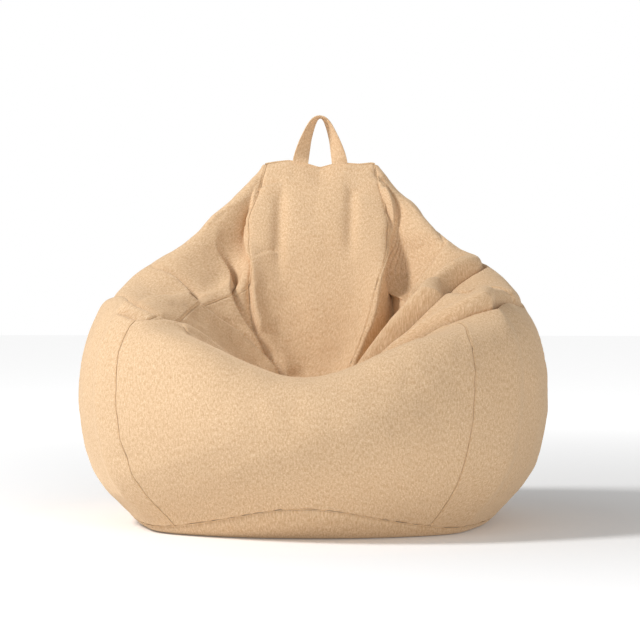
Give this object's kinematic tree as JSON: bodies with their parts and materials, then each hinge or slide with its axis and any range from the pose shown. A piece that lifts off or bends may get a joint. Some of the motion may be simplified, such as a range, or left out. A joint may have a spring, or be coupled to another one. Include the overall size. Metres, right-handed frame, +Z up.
{
  "type": "bean bag chair",
  "caption": "Sewn fabric bean bag chair with a scooped seat, puffed inner back strip, side wings, carrying strap on the top seam and a zip up the back",
  "frame": {"origin": "on the floor, under the middle of the bag", "axes": "+Z up, the front of the chair faces -Y, +X is to the right of someone who looks at the front"},
  "size_m": [0.9008, 0.9184, 0.7967],
  "materials": {
    "cover_fabric": "matte",
    "seam_fabric": "matte",
    "strap_fabric": "matte",
    "zip_tape": "matte",
    "zip_coil": "satin",
    "zip_metal": "satin",
    "liner_fabric": "matte",
    "touch_tape": "matte",
    "bead_fill": "matte"
  },
  "bodies": {
    "bag": {"front_panel": "cover_fabric", "left_side_panel": "cover_fabric", "right_side_panel": "cover_fabric", "base_panel": "cover_fabric", "left_seam": "seam_fabric", "right_seam": "seam_fabric", "base_seam": "seam_fabric", "back_seam_upper": "seam_fabric", "back_seam_lower": "seam_fabric", "top_seam": "seam_fabric", "handle_tails": "strap_fabric", "zip_tape_left": "zip_tape", "zip_tape_right": "zip_tape", "zip_coil_left": "zip_coil", "zip_coil_right": "zip_coil", "zip_top_stop": "zip_metal", "zip_bottom_stop": "zip_metal", "liner_left": "liner_fabric", "liner_right": "liner_fabric", "liner_base": "liner_fabric", "liner_hook_strip": "touch_tape", "liner_loop_strip": "touch_tape", "bead_fill": "bead_fill"},
    "handle": {"handle_strap": "strap_fabric"},
    "slider": {"zip_slider": "zip_metal"},
    "pull": {"zip_pull": "zip_metal"}
  },
  "joints": [
    {"name": "handle_flop", "type": "hinge", "parent": "bag", "child": "handle", "pos_m": [0, 0.23, 0.6988], "axis": [1, 0, 0], "range_deg": [-70, 70], "stiffness_Nm_per_rad": 0.004},
    {"name": "zip_run", "type": "hinge", "parent": "bag", "child": "slider", "pos_m": [0, 0.01, 0.23], "axis": [1, 0, 0], "range_deg": [-49.2, 0]},
    {"name": "pull_swing", "type": "hinge", "parent": "slider", "child": "pull", "pos_m": [0, 0.40199, 0.45725], "axis": [1, 0, 0], "range_deg": [0, 150]}
  ]
}
